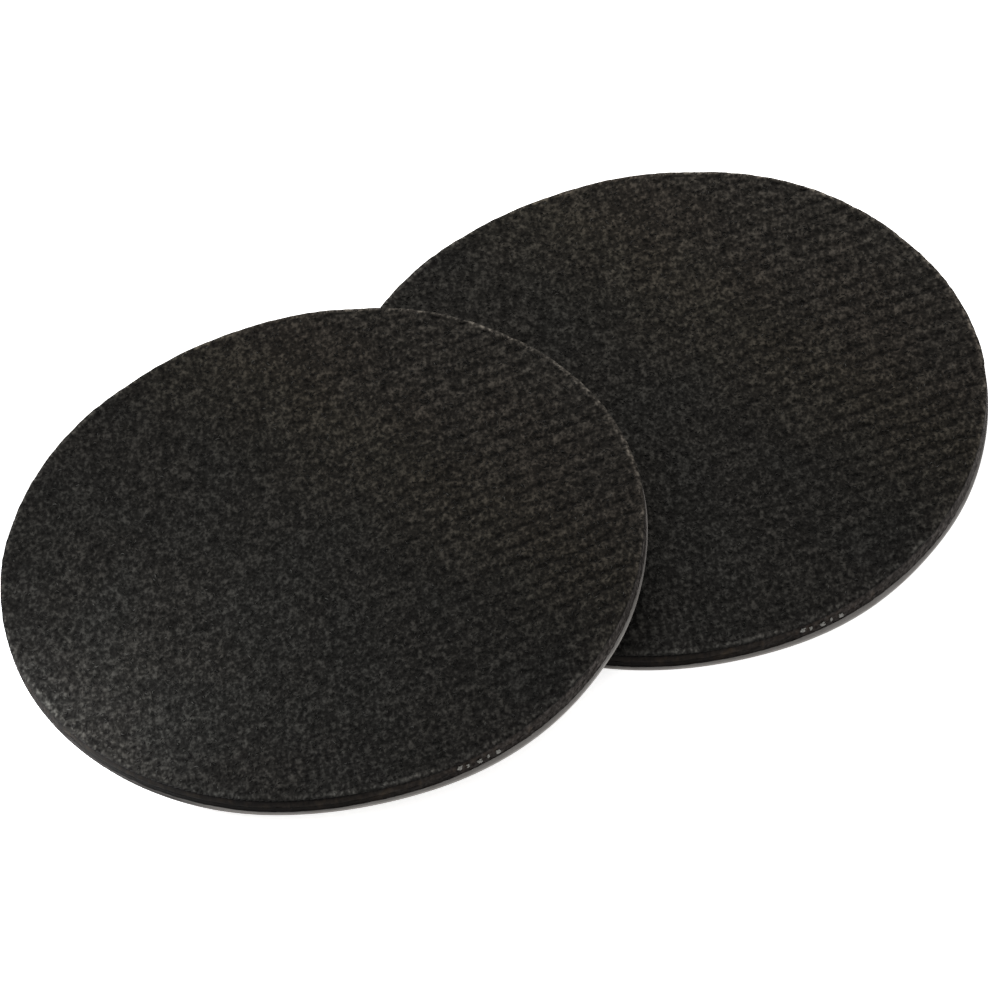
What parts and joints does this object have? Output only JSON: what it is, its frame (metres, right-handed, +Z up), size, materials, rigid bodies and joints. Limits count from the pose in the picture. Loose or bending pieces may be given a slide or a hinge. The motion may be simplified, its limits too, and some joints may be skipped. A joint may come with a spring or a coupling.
{
  "type": "wobble cushion",
  "caption": "Pair of slim round wobble cushions with a napped dark cover over an air cell, one lying half on the other.",
  "frame": {"origin": "under the middle of the pair, on the surface they lie on", "axes": "+X from the front cushion's centre to the rear one's, +Z up"},
  "size_m": [0.5241, 0.3303, 0.0348],
  "materials": {
    "cover": "napped loop knit, charcoal",
    "band": "dark brown-black woven side band",
    "thread": "black sewing thread",
    "stitch": "pale thread",
    "foam": "open-cell foam, dark grey",
    "film": "smooth vinyl film",
    "base": "matt pale grey non-slip sheet",
    "grip": "matt silicone",
    "valve": "moulded vinyl, satin",
    "plug": "soft moulded rubber"
  },
  "bodies": {
    "rear_base": {"rear_base_sheet": "base", "rear_grip_pads": "grip", "rear_side_band": "band", "rear_bladder_bottom": "film", "rear_valve_body": "valve"},
    "rear_air_cell": {"rear_bladder_top": "film"},
    "rear_top": {"rear_top_cover": "cover", "rear_foam_topper": "foam", "rear_seam_thread": "thread", "rear_closing_stitches": "stitch"},
    "rear_plug": {"rear_valve_plug": "plug"},
    "front_base": {"front_base_sheet": "base", "front_grip_pads": "grip", "front_side_band": "band", "front_bladder_bottom": "film", "front_valve_body": "valve"},
    "front_air_cell": {"front_bladder_top": "film"},
    "front_top": {"front_top_cover": "cover", "front_foam_topper": "foam", "front_seam_thread": "thread", "front_closing_stitches": "stitch"},
    "front_plug": {"front_valve_plug": "plug"}
  },
  "joints": [
    {"name": "front_lift", "type": "slide", "parent": "rear_base", "child": "front_base", "axis": [0, 0, 1], "range_m": [0, 0.08]},
    {"name": "rear_rock_sideways", "type": "hinge", "parent": "rear_base", "child": "rear_air_cell", "pos_m": [0.09769, 0.0003, 0.0043], "axis": [0, 1, 0], "range_deg": [-1, 0], "stiffness_Nm_per_rad": 40, "deforming": ["rear_side_band"]},
    {"name": "rear_rock_fore_and_aft", "type": "hinge", "parent": "rear_air_cell", "child": "rear_top", "pos_m": [0.09769, 0.0003, 0.0043], "axis": [1, 0, 0], "range_deg": [-1, 0.5], "stiffness_Nm_per_rad": 40, "deforming": ["rear_bladder_top"]},
    {"name": "rear_plug_pull", "type": "slide", "parent": "rear_base", "child": "rear_plug", "axis": [0, 0, -1], "range_m": [0, 0.006]},
    {"name": "front_rock_sideways", "type": "hinge", "parent": "front_base", "child": "front_air_cell", "pos_m": [-0.0976, 0.00039, 0.01542], "axis": [0.0007, 0.9998, -0.0219], "range_deg": [-1, 1], "stiffness_Nm_per_rad": 40, "deforming": ["front_side_band"]},
    {"name": "front_rock_fore_and_aft", "type": "hinge", "parent": "front_air_cell", "child": "front_top", "pos_m": [-0.0976, 0.00039, 0.01542], "axis": [0.9977, 0.0007, 0.0674], "range_deg": [-1, 1], "stiffness_Nm_per_rad": 40, "deforming": ["front_bladder_top"]},
    {"name": "front_plug_pull", "type": "slide", "parent": "front_base", "child": "front_plug", "axis": [0.0674, -0.0219, -0.9975], "range_m": [0, 0.006]}
  ]
}
